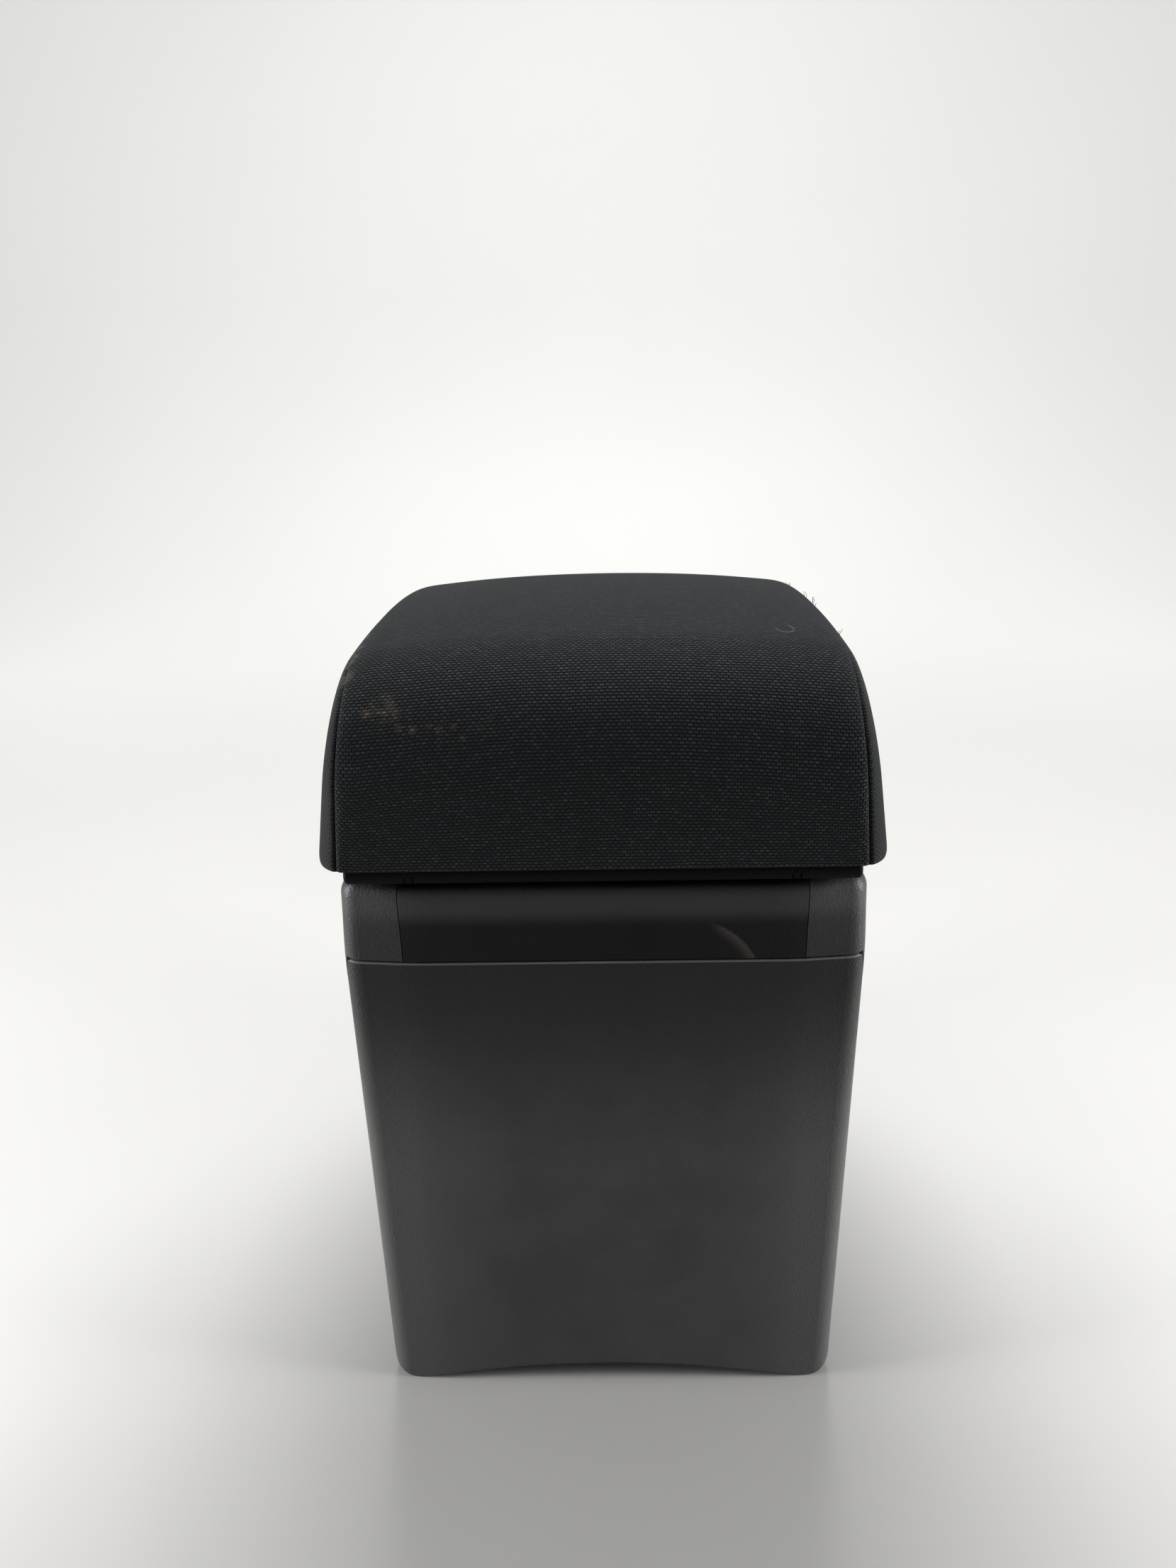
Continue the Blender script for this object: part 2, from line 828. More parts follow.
class Finishes:
    """The object's finishes, one of each."""

    RIM = (0.2120, 0.2205, 0.2245, 0.2290)
    SHELL = GrainedPlastic("shell_grain", (0.015, 0.015, 0.0153), 0.4, dust=0.12, gloss=0.24, rim=RIM)
    COVER = GrainedPlastic("rear_cover_grain", (0.05, 0.05, 0.0495), 0.43, gloss=0.2, clean=(0.1, 0.195),
                           sides=(0.035, 0.08), rim=(0.1964, 0.1968, 0.1974, 0.1980),
                           rim_color=(0.11, 0.11, 0.108))
    COLLAR = GrainedPlastic("collar_grain", (0.0022, 0.0022, 0.0023), 0.36, dust=0.05, gloss=0.15, rim=RIM,
                            scuff=Scuff((0.0271, -0.131, 0.1851)))
    BIN = GrainedPlastic("bin_grain", (0.02, 0.02, 0.021), 0.5, cells=1000.0)
    LID = GrainedPlastic("lid_base_grain", (0.0055, 0.0055, 0.0056), 0.55, cells=1100.0, dust=0.05,
                         gloss=0.04)
    CARRIER = GrainedPlastic("carrier_grain", (0.09, 0.09, 0.09), 0.5, dust=0.1)
    EDGE_DUST = (
        ((-0.0872, -0.0806, 0.3074), 0.0042),
        ((-0.0874, -0.0963, 0.3064), 0.0055),
        ((-0.0874, -0.1060, 0.3050), 0.0055),
        ((-0.0876, -0.1160, 0.3012), 0.0048),
    )
    WOVEN = WovenCloth("coarse_weave", (0.0228, 0.0262, 0.0275), 0.78, dusty=EDGE_DUST, rubbed=(
        ((-0.0715, -0.1295, 0.2945), 0.0075),
        ((-0.0785, -0.1305, 0.2925), 0.0032),
        ((-0.0672, -0.1338, 0.2890), 0.0020),
        ((-0.0628, -0.1343, 0.2880), 0.0026),
        ((-0.0571, -0.1337, 0.2892), 0.0017),
        ((-0.0532, -0.1345, 0.2878), 0.0024),
        ((-0.0488, -0.1341, 0.2886), 0.0016),
        ((-0.0455, -0.1358, 0.2862), 0.0020),
        ((-0.0395, -0.1347, 0.2885), 0.0019),
        ((-0.0365, -0.1331, 0.2912), 0.0016),
    ))
    KNIT = KnitCloth("fine_knit", (0.0185, 0.0196, 0.0198), 0.75, dusty=EDGE_DUST)
    FOAM = Foam("pad_foam", (0.5, 0.42, 0.25), 0.9)
    PAINTED = GrainedPlastic("black_paint", (0.003, 0.003, 0.0032), 0.5, cells=2400.0, relief=0.00003,
                             dust=0.05, gloss=0.05)
    PLATED = Steel("zinc_plating", (0.55, 0.55, 0.52), 0.42)
    ROD = Steel("drawn_rod", (0.07, 0.07, 0.073), 0.4, lines=(40.0, 3000.0, 3000.0))
    SCREW = Steel("screw_plating", (0.5, 0.5, 0.47), 0.36, lines=(900.0, 900.0, 900.0))
    SPRING = Steel("tempered_strip", (0.28, 0.28, 0.3), 0.3)
    MAT = Rubber("ribbed_rubber", (0.014, 0.014, 0.014), 0.8)
    STOP = Rubber("soft_rubber", (0.016, 0.016, 0.016), 0.75)
    PALE_THREAD = Thread("pale_thread", (0.27, 0.28, 0.27), 0.9)
    DARK_THREAD = Thread("dark_thread", (0.03, 0.026, 0.024), 0.9)


def dress(finish: Finish, *nodes: str) -> None:
    """Gives CAD nodes a finish.

    Args:
        finish: The finish.
        nodes: Names of CAD nodes.
    """
    for name in nodes:
        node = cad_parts[name]
        node.data.materials.clear()
        node.data.materials.append(finish.make())
        LOG.info("dressed %s in %s", name, finish.name)


def only(obj: bpy.types.Object) -> None:
    """Makes one object the only selected and the active one.

    Args:
        obj: The object.
    """
    if bpy.context.object and bpy.context.object.mode != "OBJECT":
        bpy.ops.object.mode_set(mode="OBJECT")
    bpy.ops.object.select_all(action="DESELECT")
    obj.select_set(True)
    bpy.context.view_layer.objects.active = obj


def apply_all(obj: bpy.types.Object) -> None:
    """Applies every modifier of an object, in order.

    Args:
        obj: The object.
    """
    only(obj)
    for modifier in list(obj.modifiers):
        bpy.ops.object.modifier_apply(modifier=modifier.name)


@dataclass
class Station:
    """One row of the lid's side outline, in millimetres.

    Attributes:
        y: Place along the lid.
        z: Height on the middle line.
        normal: Outward direction in (y, z).
        run: Length along the outline from its rear foot.
        share: Share of the crown's drop that this row takes.
    """

    y: float
    z: float
    normal: tuple[float, float]
    run: float
    share: float


@dataclass(frozen=True)
class PanelPlan:
    """What one panel of the lid's cover is.

    Attributes:
        name: Piece's name.
        side: Side strip that it is, or None for the panel between the seams.
        finish: Its cloth.
        slot: Material slot.
        stands_for: CAD nodes that it replaces.
    """

    name: str
    side: Side | None
    finish: Finish
    slot: str
    stands_for: tuple[str, ...]


PANELS = (
    PanelPlan("lid_cover_top", None, Finishes.WOVEN, "woven_cloth", ("cover_top_panel", "foam_pad")),
    PanelPlan("lid_cover_left", Side.LEFT, Finishes.KNIT, "knit_cloth", ("cover_side_left",)),
    PanelPlan("lid_cover_right", Side.RIGHT, Finishes.KNIT, "knit_cloth", ("cover_side_right",)),
)


@dataclass
class PaddedLid:
    """Cloth cover of the lid: a woven panel between two seams and a knitted strip outside each.

    Sizes are in millimetres and repeat those of the lid's solids.

    Attributes:
        width: Width over the sides' lower edge.
        length: Length over the rear face and the nose.
        edge_z: Height of the lower edge.
        hem_steps: How far in, and at what height, each turn of the hem lies.
        apex_z: Height of the highest point.
        apex_y: Place of the highest point along the lid.
        top_r: Radius of the top along the lid.
        crown_r: Radius of the top across the lid.
        bend_r: Radius of the bend at the rear.
        nose_r: Radius of the nose at the front.
        lean: Lean of the sides, in degrees.
        shoulder_r: Radius of the shoulders.
        seam_inset: Distance of the seam from the side at the lower edge.
        seam_lean: Lean of the seam, in degrees.
        seam_depth: Depth of the groove along the seam.
        seam_width: Half width of that groove.
        lip_height: Height of the soft lips beside it.
        lip_away: Distance of the lips from the seam.
        lip_width: Half width of the lips.
        swell_cap: Most that the cloth may swell.
        even_rounds: How often the swell is evened out.
        held_away: Distance from the seam within which the cloth is held.
        held_height: Height above the lower edge up to which it is held.
        cloth: Thickness of the cloth.
        weld: Distance below which points are one.
        columns: Columns of the woven panel between its shoulders.
        rear_rows: Rows up the rear face.
        arc_rows: Rows over the bend, the top and the nose.
        inner_steps: Places of the first columns on the shoulder, as shares of the way to the seam.
        near_least: Least share of that way for the columns just inside the seam, and the rise from each to
            the next.
        seam_steps: Distances of the columns on both sides of the seam.
        outer_steps: Shares of the rest of the shoulder's arc, outside the seam.
        flank_steps: Shares of the way from the shoulder down to the lower edge.
        frames: Frames that the cloth simulation runs for.
        fabric: Settings of the simulated cloth.
        fill: How tightly the lid is padded, from 0 to 1.
    """

    width: float = 200.0
    length: float = 280.0
    edge_z: float = 239.3
    hem_steps: tuple[Span, ...] = ((0.25, 238.7), (0.65, 238.2), (1.1, 238.05), (8.0, 238.05))
    apex_z: float = 313.5
    apex_y: float = -57.0
    top_r: float = 760.0
    crown_r: float = 910.0
    bend_r: float = 44.0
    nose_r: float = 60.0
    lean: float = 8.2
    shoulder_r: float = 11.5
    seam_inset: float = 8.0
    seam_lean: float = 3.5
    seam_depth: float = 0.75
    seam_width: float = 0.6
    lip_height: float = 0.12
    lip_away: float = 2.6
    lip_width: float = 1.6
    swell_cap: float = 1.1
    even_rounds: int = 30
    held_away: float = 1.0
    held_height: float = 0.2
    cloth: float = 1.0
    weld: float = 0.05
    columns: int = 34
    rear_rows: int = 8
    arc_rows: tuple[int, int, int] = (20, 42, 24)
    inner_steps: Span = (0.0, 0.5)
    near_least: Span = (0.55, 0.1)
    seam_steps: tuple[float, ...] = (0.35, 0.8, 1.4, 2.3)
    outer_steps: tuple[float, ...] = (0.35, 0.7, 1.0)
    flank_steps: tuple[float, ...] = (0.06, 0.16, 0.3, 0.46, 0.62, 0.78, 0.9, 1.0)
    frames: int = 20
    fabric: dict[str, float] = field(default_factory=lambda: {
        "quality": 4, "mass": 0.3, "tension_stiffness": 20.0, "compression_stiffness": 20.0,
        "shear_stiffness": 8.0, "bending_stiffness": 2.0, "uniform_pressure_force": 4.0,
    })
    fill: float = 0.8

    def outline(self) -> list[Station]:
        """Rows of the side outline, from the rear foot over the top to the front foot.

        Returns:
            The stations.
        """
        rear_y = -self.length / 2
        front_y = self.length / 2
        centre_z = self.apex_z - self.top_r
        rear_c = rear_y + self.bend_r
        front_c = front_y - self.nose_r
        rear_cz = centre_z + math.sqrt((self.top_r - self.bend_r) ** 2 - (rear_c - self.apex_y) ** 2)
        front_cz = centre_z + math.sqrt((self.top_r - self.nose_r) ** 2 - (front_c - self.apex_y) ** 2)
        rear_turn = math.atan2(rear_cz - centre_z, rear_c - self.apex_y)
        front_turn = math.atan2(front_cz - centre_z, front_c - self.apex_y)
        raw: list[tuple[float, float, tuple[float, float], float]] = []
        for step in range(self.rear_rows):
            share = step / self.rear_rows
            raw.append((rear_y, self.edge_z + (rear_cz - self.edge_z) * share, (-1.0, 0.0), share))
        bend_rows, top_rows, nose_rows = self.arc_rows
        arcs = ((rear_c, rear_cz, self.bend_r, math.pi, rear_turn, bend_rows),
                (self.apex_y, centre_z, self.top_r, rear_turn, front_turn, top_rows),
                (front_c, front_cz, self.nose_r, front_turn, 0.0, nose_rows))
        for y, z, radius, start, end, count in arcs:
            for step in range(count):
                angle = start + (end - start) * step / count
                toward = (math.cos(angle), math.sin(angle))
                raw.append((y + radius * toward[0], z + radius * toward[1], toward, 1.0))
        for share in (1.0, 0.0):
            raw.append((front_y, self.edge_z + (front_cz - self.edge_z) * share, (1.0, 0.0), share))
        run = 0.0
        rows = []
        for index, (y, z, toward, share) in enumerate(raw):
            if index:
                run += math.hypot(y - raw[index - 1][0], z - raw[index - 1][1])
            rows.append(Station(y, z, toward, run, share))
        return rows

    def skin(self, row: Station, x: float) -> tuple[Vector, Vector]:
        """Point and outward normal of the crowned surface.

        Args:
            row: Station.
            x: Place across.

        Returns:
            Point and normal.
        """
        radius = row.z - self.apex_z + self.crown_r
        drop = (radius - math.sqrt(radius * radius - x * x)) * row.share
        along, up = row.normal
        normal = Vector((x / radius * row.share * max(up, 0.0), along, up)).normalized()
        return Vector((x, row.y, max(row.z - drop, self.edge_z))), normal

    def top_point(self, x: float, y: float) -> Vector:
        """Point of the crowned surface above a place in plan.

        Args:
            x: Place across.
            y: Place along.

        Returns:
            The point, in millimetres.
        """
        above = [row for row in self.outline() if row.normal[1] > 0.0]
        after = next(index for index, row in enumerate(above) if row.y > y)
        rear, front = above[after - 1], above[after]
        share = (y - rear.y) / (front.y - rear.y)
        return self.skin(rear, x)[0].lerp(self.skin(front, x)[0], share)

    def side_normal(self) -> Vector:
        """Outward normal of the right side plane."""
        lean = math.radians(self.lean)
        return Vector((math.cos(lean), 0.0, math.sin(lean)))

    def shoulder(self, row: Station) -> tuple[float, Vector, Vector]:
        """Rolling circle of the rounded shoulder at one row, on the right.

        Args:
            row: Station.

        Returns:
            Place across where the shoulder starts, the circle's centre, and the surface normal there.
        """
        side = self.side_normal()
        edge = Vector((self.width / 2, 0.0, self.edge_z))
        low, high = self.width / 4, self.width / 2
        for _ in range(BISECTIONS):
            x = (low + high) / 2
            point, normal = self.skin(row, x)
            centre = point - normal * self.shoulder_r
            past = (centre - edge).dot(side) + self.shoulder_r
            low, high = (low, x) if past > 0 else (x, high)
        return x, centre, normal

    def seam_angle(self, centre: Vector, top: Vector) -> float:
        """Angle on the shoulder's arc at which the seam lies.

        Args:
            centre: Centre of the arc.
            top: Normal where the arc starts.

        Returns:
            Angle from the start, in radians.
        """
        whole = top.angle(self.side_normal())
        slope = math.tan(math.radians(self.seam_lean))
        low, high = 0.0, whole
        for _ in range(BISECTIONS):
            angle = (low + high) / 2
            point = centre + self.turn(top, angle) * self.shoulder_r
            seam_x = self.width / 2 - self.seam_inset - (point.z - self.edge_z) * slope
            low, high = (angle, high) if point.x < seam_x else (low, angle)
        return angle

    def turn(self, top: Vector, angle: float) -> Vector:
        """Direction turned from the top normal towards the side normal.

        Args:
            top: Normal at the start.
            angle: Angle turned.

        Returns:
            The direction.
        """
        side = self.side_normal()
        axis = top.cross(side).normalized()
        return Matrix.Rotation(angle, 3, axis) @ top

    def groove(self, away: float) -> float:
        """Height of the surface by its distance from the seam: a groove with soft lips.

        Args:
            away: Distance from the seam.

        Returns:
            Height, negative in the groove.
        """
        lip = self.lip_height * math.exp(-(((abs(away) - self.lip_away) / self.lip_width) ** 2))
        return lip - self.seam_depth * math.exp(-((away / self.seam_width) ** 2))

    def half_row(self, row: Station, along: float) -> list[tuple[Vector, float, float]]:
        """Points of one row from the middle to the lid's lower side edge, on the right.

        Args:
            row: Station.
            along: Place of the row from rear to front, from 0 to 1.

        Returns:
            Points with their distance across and their distance from the seam.
        """
        start, centre, top = self.shoulder(row)
        seam = self.seam_angle(centre, top)
        whole = top.angle(self.side_normal())
        points = []
        half = self.columns // 2
        for step in range(half):
            x = start * step / half
            points.append((self.skin(row, x)[0], x, x - start - seam * self.shoulder_r))
        inner = [seam * share for share in self.inner_steps]
        least, rise = self.near_least
        near = [max(seam - step / self.shoulder_r, seam * (least + rise * index))
                for index, step in enumerate(reversed(self.seam_steps))]
        outer = [seam + step / self.shoulder_r for step in self.seam_steps]
        last = outer[-1]
        rest = [last + (whole - last) * share for share in self.outer_steps]
        for angle in inner + near + [seam] + outer + rest:
            away = (angle - seam) * self.shoulder_r
            normal = self.turn(top, angle)
            point = centre + normal * (self.shoulder_r + self.groove(away))
            points.append((point, start + angle * self.shoulder_r, away))
        foot_y = (self.length / 2 - self.shoulder_r) * (2 * along - 1)
        foot = Vector((self.width / 2, foot_y, self.edge_z))
        edge, across, away = points[-1]
        for share in self.flank_steps:
            point = edge.lerp(foot, share)
            down = (point - edge).length
            points.append((point, across + down, away + down))
        return points

    def cover(self) -> bpy.types.Object:
        """Builds the whole cover as one sheet with its hem.

        Returns:
            The cover.
        """
        rows = self.outline()
        span = rows[-1].run
        halves = [self.half_row(row, row.run / span) for row in rows]
        count = 2 * len(halves[0]) - 1
        bpy.ops.object.select_all(action="DESELECT")
        bpy.ops.mesh.primitive_grid_add(x_subdivisions=count - 1, y_subdivisions=len(rows) - 1, size=1.0)
        sheet = bpy.context.object
        sheet.name = "lid_cover"
        mesh = bmesh.new()
        mesh.from_mesh(sheet.data)
        mesh.verts.ensure_lookup_table()
        across = mesh.verts.layers.float.new("across")
        along = mesh.verts.layers.float.new("along")
        away = mesh.verts.layers.float.new("seam")
        middle = count // 2
        for index, vert in enumerate(mesh.verts):
            line, column = divmod(index, count)
            point, reach, seam = halves[line][abs(column - middle)]
            sign = 1.0 if column >= middle else -1.0
            vert.co = (sign * point.x * MM, point.y * MM, point.z * MM)
            vert[across] = sign * reach * MM
            vert[along] = rows[line].run * MM
            vert[away] = seam
        self.fold_hem(mesh)
        bmesh.ops.remove_doubles(mesh, verts=mesh.verts, dist=self.weld * MM)
        bmesh.ops.recalc_face_normals(mesh, faces=mesh.faces)
        mesh.to_mesh(sheet.data)
        mesh.free()
        return sheet

    def fold_hem(self, mesh: bmesh.types.BMesh) -> None:
        """Rounds the lower edge and folds the hem in under the lid.

        Args:
            mesh: Cover's mesh.
        """
        bmesh.ops.remove_doubles(mesh, verts=mesh.verts, dist=self.weld * MM)
        straight = Vector((self.width / 2 - self.shoulder_r, self.length / 2 - self.shoulder_r))
        across = mesh.verts.layers.float["across"]
        along = mesh.verts.layers.float["along"]
        for step, height in self.hem_steps:
            rim = [edge for edge in mesh.edges if edge.is_boundary]
            made = bmesh.ops.extrude_edge_only(mesh, edges=rim)["geom"]
            for vert in (item for item in made if isinstance(item, bmesh.types.BMVert)):
                before = vert.co.copy()
                x, y = vert.co.x / MM, vert.co.y / MM
                past = Vector((max(abs(x) - straight.x, 0.0), max(abs(y) - straight.y, 0.0)))
                out = past.normalized()
                vert.co.x = (x - math.copysign(out.x * step, x)) * MM
                vert.co.y = (y - math.copysign(out.y * step, y)) * MM
                vert.co.z = height * MM
                moved = (vert.co - before).length
                if out.y > out.x:
                    vert[along] += math.copysign(moved, y)
                else:
                    vert[across] += math.copysign(moved, x)

    def pin(self, sheet: bpy.types.Object) -> set[int]:
        """Marks the seams and the hem as held for the cloth.

        Args:
            sheet: The cover.

        Returns:
            The held vertices' numbers.
        """
        group = sheet.vertex_groups.new(name="held")
        away = sheet.data.attributes["seam"].data
        low = (self.edge_z + self.held_height) * MM
        held = [v.index for v in sheet.data.vertices
                if abs(away[v.index].value) < self.held_away or v.co.z < low]
        group.add(held, 1.0, "REPLACE")
        return set(held)

    def even_out(self, sheet: bpy.types.Object, swell: list[float], held: set[int]) -> list[float]:
        """Evens the swell out over the cloth, so that it has no stray dimples.

        Args:
            sheet: The cover.
            swell: How far each vertex has swelled.
            held: Numbers of the vertices that stay.

        Returns:
            The evened swell.
        """
        near: list[list[int]] = [[] for _ in swell]
        for edge in sheet.data.edges:
            first, second = edge.vertices
            near[first].append(second)
            near[second].append(first)
        for _ in range(self.even_rounds):
            mean = [(height + sum(swell[other] for other in others)) / (len(others) + 1)
                    for height, others in zip(swell, near)]
            swell = [0.0 if index in held else height for index, height in enumerate(mean)]
        return swell

    def inflate(self, sheet: bpy.types.Object) -> None:
        """Swells the cloth a little between its seams with a short cloth simulation.

        Args:
            sheet: The cover.
        """
        rest = [v.co.copy() for v in sheet.data.vertices]
        outward = [v.normal.copy() for v in sheet.data.vertices]
        held = self.pin(sheet)
        only(sheet)
        modifier = sheet.modifiers.new("swell", "CLOTH")
        cloth = modifier.settings
        cloth.use_pressure = True
        for name, value in self.fabric.items():
            setattr(cloth, name, value)
        cloth.vertex_group_mass = "held"
        cloth.effector_weights.gravity = 0.0
        modifier.collision_settings.use_collision = False
        modifier.point_cache.frame_start = 1
        modifier.point_cache.frame_end = self.frames
        scene = bpy.context.scene
        for number in range(1, self.frames + 1):
            scene.frame_set(number)
        bpy.ops.object.modifier_apply(modifier=modifier.name)
        limit = self.swell_cap * MM
        swell = [min(max((vert.co - start).dot(normal), 0.0), limit)
                 for vert, start, normal in zip(sheet.data.vertices, rest, outward)]
        swell = self.even_out(sheet, swell, held)
        for vert, start, normal, height in zip(sheet.data.vertices, rest, outward, swell):
            vert.co = start + normal * height
        scene.frame_set(1)
        sheet.vertex_groups.clear()

    def chart(self, sheet: bpy.types.Object) -> None:
        """Writes the cloth's own UV map, in metres across and along.

        Args:
            sheet: The cover.
        """
        layer = sheet.data.uv_layers.get("cloth") or sheet.data.uv_layers.new(name="cloth")
        across = sheet.data.attributes["across"].data
        along = sheet.data.attributes["along"].data
        for loop in sheet.data.loops:
            layer.data[loop.index].uv = (across[loop.vertex_index].value, along[loop.vertex_index].value)
        for other in [item for item in sheet.data.uv_layers if item.name != "cloth"]:
            sheet.data.uv_layers.remove(other)

    def part_panel(self, sheet: bpy.types.Object, plan: PanelPlan) -> bpy.types.Object:
        """Cuts one panel out of the cover along its seams.

        Args:
            sheet: The cover, which stays whole.
            plan: What the panel is to be.

        Returns:
            The panel.
        """
        away = [item.value for item in sheet.data.attributes["seam"].data]
        panel = sheet.copy()
        panel.data = sheet.data.copy()
        panel.name = panel.data.name = plan.name
        bpy.context.scene.collection.objects.link(panel)
        mesh = bmesh.new()
        mesh.from_mesh(panel.data)
        drop = []
        for face in mesh.faces:
            outside = sum(away[v.index] for v in face.verts) > 0.0
            x = face.calc_center_median().x
            keep = not outside if plan.side is None else outside and x * plan.side.value > 0
            if not keep:
                drop.append(face)
        bmesh.ops.delete(mesh, geom=drop, context="FACES")
        mesh.to_mesh(panel.data)
        mesh.free()
        return panel

    def finish_panel(self, panel: bpy.types.Object, finish: Finish) -> None:
        """Thickens and smooths one panel, and gives it its cloth.

        Args:
            panel: The panel.
            finish: Its finish.
        """
        wall = panel.modifiers.new("wall", "SOLIDIFY")
        wall.thickness = self.cloth * MM
        wall.offset = -1.0
        smooth = panel.modifiers.new("smooth", "SUBSURF")
        smooth.levels = smooth.render_levels = 1
        apply_all(panel)
        bpy.ops.object.shade_smooth()
        panel.data.materials.clear()
        panel.data.materials.append(finish.make())

    def build(self) -> None:
        """Makes the cover's panels and lets them stand for the soft solids."""
        sheet = self.cover()
        self.inflate(sheet)
        self.chart(sheet)
        for plan in PANELS:
            panel = self.part_panel(sheet, plan)
            self.finish_panel(panel, plan.finish)
            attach(panel, LID_BODY)
            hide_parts(*plan.stands_for)
            LOG.info("built %s", plan.name)
        bpy.data.objects.remove(sheet)


@dataclass
class LooseThreads:
    """Frayed threads and lint caught on the lid's cloth, in millimetres.

    Attributes:
        lid: Lid that they lie on.
        gauge: Radius of a frayed thread.
        lint_gauge: Radius of the lint.
        lint_rise: Height of the lint above the lid's own form.
        frayed: Roots of the frayed threads, on the right edge.
        hairs: Threads at each root.
        root_spread: How far a thread may start from its root, across and along.
        root_depth: How deep in the cloth it starts.
        tall: Shortest and longest thread.
        lean_across: Least and most that it leans to the right.
        lean_along: How far it may lean along the lid.
        bow: How far its middle may stand off, across and along.
        bow_rise: How far its middle is lifted.
        loop: Places of the lint's loop in plan.
        seed: Seed of the random draws.
    """

    lid: PaddedLid
    gauge: float = 0.09
    lint_gauge: float = 0.06
    lint_rise: float = 1.2
    frayed: tuple[Point, ...] = (
        (88.3, 58.0, 298.4), (89.0, 52.0, 298.4), (89.4, 49.0, 298.6), (87.7, -9.5, 305.5),
        (88.1, -24.0, 305.8), (88.4, -27.0, 305.6), (88.8, -80.0, 305.3),
    )
    hairs: int = 2
    root_spread: Span = (0.3, 2.0)
    root_depth: float = 0.6
    tall: Span = (2.3, 3.5)
    lean_across: Span = (-0.3, 0.5)
    lean_along: float = 0.6
    bow: float = 0.5
    bow_rise: float = 0.3
    loop: tuple[Span, ...] = (
        (63.2, -94.0), (63.8, -97.5), (66.3, -99.2), (69.2, -97.5), (70.0, -93.0), (68.4, -89.5),
    )
    seed: int = 7

    def strand(self, name: str, points: list[Vector], gauge: float, finish: Finish) -> bpy.types.Object:
        """Makes one thread along some points.

        Args:
            name: Piece's name.
            points: Points along the thread, in millimetres.
            gauge: Its radius.
            finish: Its finish.

        Returns:
            The thread as a mesh.
        """
        curve = bpy.data.curves.new(name, "CURVE")
        curve.dimensions = "3D"
        curve.bevel_depth = gauge * MM
        curve.bevel_resolution = 1
        curve.resolution_u = 4
        line = curve.splines.new("NURBS")
        line.points.add(len(points) - 1)
        for slot, point in zip(line.points, points):
            slot.co = (*(point * MM), 1.0)
        line.order_u = 3
        line.use_endpoint_u = True
        holder = bpy.data.objects.new(name, curve)
        bpy.context.scene.collection.objects.link(holder)
        only(holder)
        bpy.ops.object.convert(target="MESH")
        piece = bpy.context.object
        piece.name = name
        piece.data.materials.clear()
        piece.data.materials.append(finish.make())
        return piece

    def hair(self, root: Point, draw: random.Random) -> list[Vector]:
        """Draws one frayed thread at random.

        Args:
            root: Place that it starts near.
            draw: Source of the random draws.

        Returns:
            Its foot, knee and tip.
        """
        wide, long = self.root_spread
        foot = Vector(root) + Vector((draw.uniform(-wide, wide), draw.uniform(-long, long), -self.root_depth))
        along = self.lean_along
        lean = Vector((draw.uniform(*self.lean_across), draw.uniform(-along, along), 1.0))
        tip = foot + lean.normalized() * draw.uniform(*self.tall)
        bow = self.bow
        off = Vector((draw.uniform(-bow, bow), draw.uniform(-bow, bow), self.bow_rise))
        return [foot, (foot + tip) / 2 + off, tip]

    def build(self) -> None:
        """Makes the frayed ends on the right edge and the loop of lint on the top."""
        draw = random.Random(self.seed)
        ends = []
        for index, root in enumerate(self.frayed):
            for hair in range(self.hairs):
                name = f"frayed_end_{index}_{hair}"
                ends.append(self.strand(name, self.hair(root, draw), self.gauge, Finishes.DARK_THREAD))
        rise = Vector((0.0, 0.0, self.lint_rise))
        loop = [self.lid.top_point(x, y) + rise for x, y in self.loop]
        lint = self.strand("lint_loop", loop, self.lint_gauge, Finishes.PALE_THREAD)
        only(ends[0])
        for end in ends:
            end.select_set(True)
        bpy.ops.object.join()
        fray = bpy.context.object
        fray.name = "frayed_ends"
        for piece in (fray, lint):
            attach(piece, LID_BODY)
            LOG.info("built %s", piece.name)


class ConsoleBox:
    """Plastic box with its bin, hinge and feet, and what is inside the lid."""

    def build(self) -> None:
        """Dresses their CAD nodes."""
        dress(Finishes.SHELL, "body_shell")
        dress(Finishes.COVER, "rear_cover")
        dress(Finishes.COLLAR, "hinge_cover")
        dress(Finishes.BIN, "storage_bin")
        dress(Finishes.MAT, "bin_mat")
        dress(Finishes.STOP, "bump_stops")
        dress(Finishes.PLATED, "floor_bracket_front", "floor_bracket_rear")
        dress(Finishes.PAINTED, "hinge_bracket")
        dress(Finishes.ROD, "hinge_rod")
        dress(Finishes.SPRING, "catch_spring", "rear_cover_clips")
        dress(Finishes.SCREW, "hinge_screws", "bin_screws", "catch_screws", "bracket_screws", "lid_screws")
        dress(Finishes.LID, "lid_base")
        dress(Finishes.CARRIER, "lid_carrier")
        dress(Finishes.FOAM, "foam_pad")


